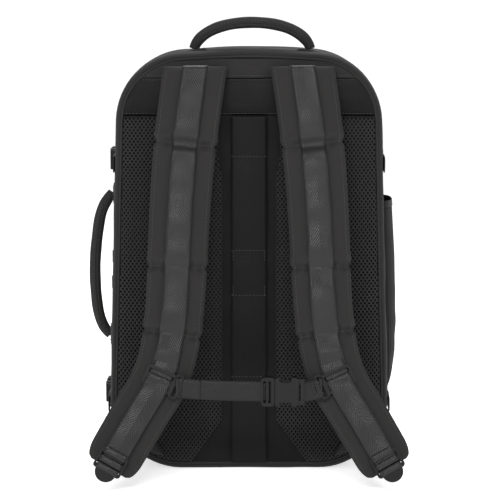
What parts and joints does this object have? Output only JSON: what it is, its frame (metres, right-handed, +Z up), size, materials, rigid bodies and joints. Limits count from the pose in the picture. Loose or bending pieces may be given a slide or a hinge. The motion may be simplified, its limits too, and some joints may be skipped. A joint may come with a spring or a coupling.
{
  "type": "travel backpack",
  "caption": "Clamshell travel backpack with padded shoulder straps, chest strap, carry handles, mesh back pads and side compression straps.",
  "frame": {"origin": "on the floor under the middle of the base, 90 mm behind the outer face of the back panel", "axes": "+Z up; -Y is the side worn against the back; +X is the wearer's right-hand side seen from behind the harness"},
  "size_m": [0.3973, 0.3238, 0.5605],
  "materials": {
    "shell_fabric": "plain woven nylon twill, charcoal black",
    "air_mesh": "three-dimensional spacer mesh",
    "foam": "closed-cell padding foam",
    "stiffener": "flat sheet",
    "plastic": "satin moulded acetal",
    "zip_metal": "black enamelled zinc",
    "zip_tape": "coated zip tape with nylon coil",
    "webbing": "herringbone woven webbing",
    "lining": "smooth lining over foam",
    "stretch_fabric": "ribbed stretch knit",
    "binding": "folded edge binding",
    "handle_fabric": "woven nylon over a foam core"
  },
  "bodies": {
    "bag": {"back_panel": "shell_fabric", "bottle_pocket": "stretch_fabric", "bottle_pocket_hem": "binding", "centre_panel": "shell_fabric", "centre_webbing": "webbing", "compression_buckle_female": "plastic", "compression_ladder_lock": "plastic", "compression_webbing_left": "webbing", "compression_webbing_right": "webbing", "divider_hem": "lining", "frame_sheet": "stiffener", "gusset_base": "shell_fabric", "gusset_left": "shell_fabric", "gusset_right": "shell_fabric", "gusset_top": "shell_fabric", "laptop_divider": "lining", "main_zip_tape_back": "zip_tape", "mesh_panel_left": "air_mesh", "mesh_panel_right": "air_mesh", "pad_foam_left": "foam", "pad_foam_right": "foam", "rim_piping": "binding", "side_handle_anchors": "webbing", "strap_anchor_left": "webbing", "strap_anchor_right": "webbing", "top_band": "webbing", "top_handle_anchors": "webbing", "yoke": "shell_fabric"},
    "lid": {"lid_shell": "shell_fabric", "lid_mesh_divider": "air_mesh", "main_zip_tape_lid": "zip_tape", "front_pocket": "shell_fabric", "front_pocket_zip_tape": "zip_tape", "compression_webbing_lid_left": "webbing", "compression_webbing_lid_right": "webbing", "compression_buckle_male": "plastic"},
    "top_handle": {"top_handle": "handle_fabric"},
    "side_handle": {"side_handle": "handle_fabric"},
    "strap_left": {"strap_pad_left": "shell_fabric", "strap_webbing_left": "webbing", "sternum_slider_left": "plastic", "sternum_webbing_left": "webbing", "lower_webbing_left": "webbing"},
    "strap_right": {"strap_pad_right": "shell_fabric", "strap_webbing_right": "webbing", "sternum_slider_right": "plastic", "sternum_webbing_right": "webbing", "lower_webbing_right": "webbing", "sternum_buckle_female": "plastic"},
    "sternum_male": {"sternum_buckle_male": "plastic"},
    "arm_upper": {"sternum_buckle_arm_upper": "plastic"},
    "arm_lower": {"sternum_buckle_arm_lower": "plastic"},
    "ladder_lock_left": {"ladder_lock_left": "plastic"},
    "ladder_lock_right": {"ladder_lock_right": "plastic"},
    "zip_slider_lower": {"main_zip_slider_lower": "zip_metal"},
    "zip_slider_upper": {"main_zip_slider_upper": "zip_metal"},
    "zip_pull_lower": {"main_zip_pull_lower": "zip_metal"},
    "zip_pull_upper": {"main_zip_pull_upper": "zip_metal"},
    "pocket_zip_slider": {"front_pocket_zip_slider": "zip_metal"},
    "pocket_zip_pull": {"front_pocket_zip_pull": "zip_metal"}
  },
  "joints": [
    {"name": "lid_hinge", "type": "hinge", "parent": "bag", "child": "lid", "pos_m": [0.1756, 0.02, 0], "axis": [0.0273, 0, -0.9996], "range_deg": [0, 100]},
    {"name": "top_handle_swing", "type": "hinge", "parent": "bag", "child": "top_handle", "pos_m": [0.004, -0.058, 0.526], "axis": [1, 0, 0], "range_deg": [-70, 70]},
    {"name": "side_handle_swing", "type": "hinge", "parent": "bag", "child": "side_handle", "pos_m": [-0.17654, -0.038, 0.251], "axis": [0.0273, 0, 0.9996], "range_deg": [-60, 60]},
    {"name": "strap_left_swing", "type": "hinge", "parent": "bag", "child": "strap_left", "pos_m": [0, -0.0936, 0.501], "axis": [-1, 0, 0], "range_deg": [0, 15]},
    {"name": "strap_right_swing", "type": "hinge", "parent": "bag", "child": "strap_right", "pos_m": [0, -0.0936, 0.501], "axis": [-1, 0, 0], "range_deg": [0, 15]},
    {"name": "sternum_buckle_release", "type": "slide", "parent": "strap_left", "child": "sternum_male", "axis": [-1, 0, 0], "range_m": [0, 0.024]},
    {"name": "buckle_arm_upper_press", "type": "slide", "parent": "sternum_male", "child": "arm_upper", "axis": [0, 0, -1], "range_m": [0, 0.002], "stiffness_N_per_m": 300},
    {"name": "buckle_arm_lower_press", "type": "slide", "parent": "sternum_male", "child": "arm_lower", "axis": [0, 0, 1], "range_m": [0, 0.002], "stiffness_N_per_m": 300},
    {"name": "ladder_lock_left_tilt", "type": "hinge", "parent": "strap_left", "child": "ladder_lock_left", "pos_m": [-0.15864, -0.21129, 0.04605], "axis": [-0.8711, 0.126, 0.4747], "range_deg": [0, 30]},
    {"name": "ladder_lock_right_tilt", "type": "hinge", "parent": "strap_right", "child": "ladder_lock_right", "pos_m": [0.15864, -0.21129, 0.04605], "axis": [-0.8711, -0.126, -0.4747], "range_deg": [0, 30]},
    {"name": "main_zip_lower_slide", "type": "slide", "parent": "bag", "child": "zip_slider_lower", "axis": [-0.0273, 0, -0.9996], "range_m": [0, 0.1]},
    {"name": "main_zip_lower_pull", "type": "hinge", "parent": "zip_slider_lower", "child": "zip_pull_lower", "pos_m": [-0.17555, 0.02, 0.2278], "axis": [0, 1, 0], "range_deg": [0, 110]},
    {"name": "main_zip_upper_slide", "type": "slide", "parent": "bag", "child": "zip_slider_upper", "axis": [0.0273, 0, 0.9996], "range_m": [0, 0.085]},
    {"name": "main_zip_upper_pull", "type": "hinge", "parent": "zip_slider_upper", "child": "zip_pull_upper", "pos_m": [-0.17464, 0.02, 0.2608], "axis": [0, 1, 0], "range_deg": [0, 110]},
    {"name": "pocket_zip_slide", "type": "slide", "parent": "lid", "child": "pocket_zip_slider", "axis": [-1, 0, 0], "range_m": [0, 0.21]},
    {"name": "pocket_zip_pull", "type": "hinge", "parent": "pocket_zip_slider", "child": "pocket_zip_pull", "pos_m": [0.105, 0.0966, 0.4238], "axis": [1, 0, 0], "range_deg": [0, 110]}
  ],
  "couplings": [
    {"joint": "strap_right_swing", "follows": "strap_left_swing", "ratio": 1},
    {"joint": "buckle_arm_lower_press", "follows": "buckle_arm_upper_press", "ratio": 1}
  ]
}
